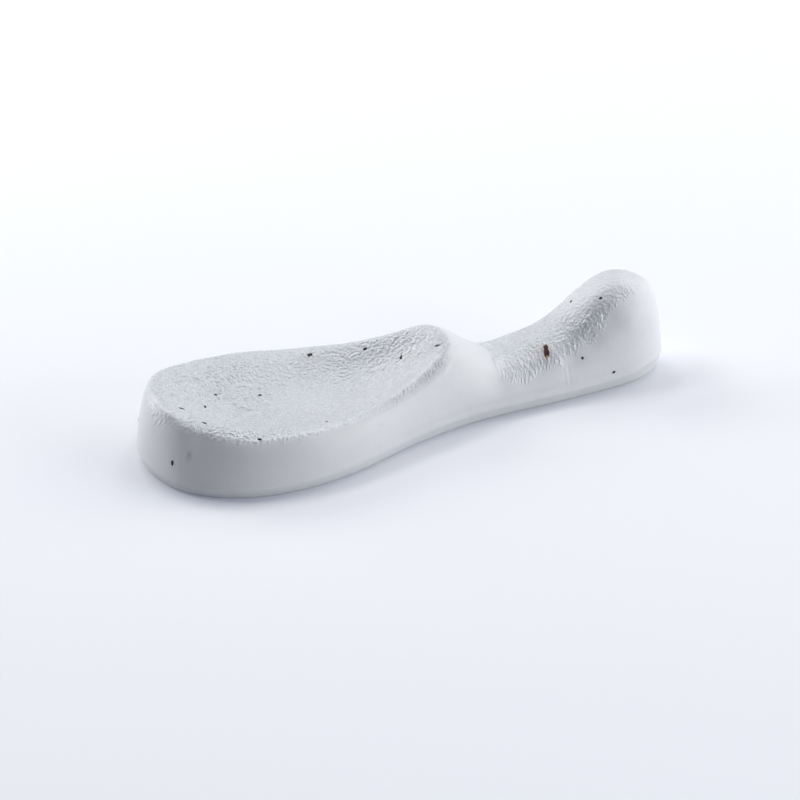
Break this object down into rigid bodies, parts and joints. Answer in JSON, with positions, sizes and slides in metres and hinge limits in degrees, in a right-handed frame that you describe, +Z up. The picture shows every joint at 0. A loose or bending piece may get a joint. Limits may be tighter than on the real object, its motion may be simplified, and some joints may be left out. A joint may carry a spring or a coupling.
{
  "type": "chopstick rest",
  "caption": "Glazed stoneware rest with an oval spoon dish, a raised crest, a low waist for a pair of chopsticks and a tall rounded end knob.",
  "frame": {"origin": "middle of the footprint's box, on the table under the rest", "axes": "+X along the rest towards the knob, +Z up, +Y across it towards the far side in the picture"},
  "size_m": [0.088, 0.034, 0.017],
  "materials": {
    "bare_clay": "bare fired stoneware, matt and slightly gritty",
    "white_glaze": "cool white satin glaze, finely wrinkled on the top faces and smooth on the walls",
    "iron_black": "dark iron specks melted into the glaze, satin",
    "rust_brown": "one large dark brown iron spot with a rust-coloured edge, satin"
  },
  "bodies": {
    "root": {"stoneware_body": "bare_clay", "glaze_coat": "white_glaze", "iron_specks": "iron_black", "rust_spot": "rust_brown"}
  },
  "joints": []
}
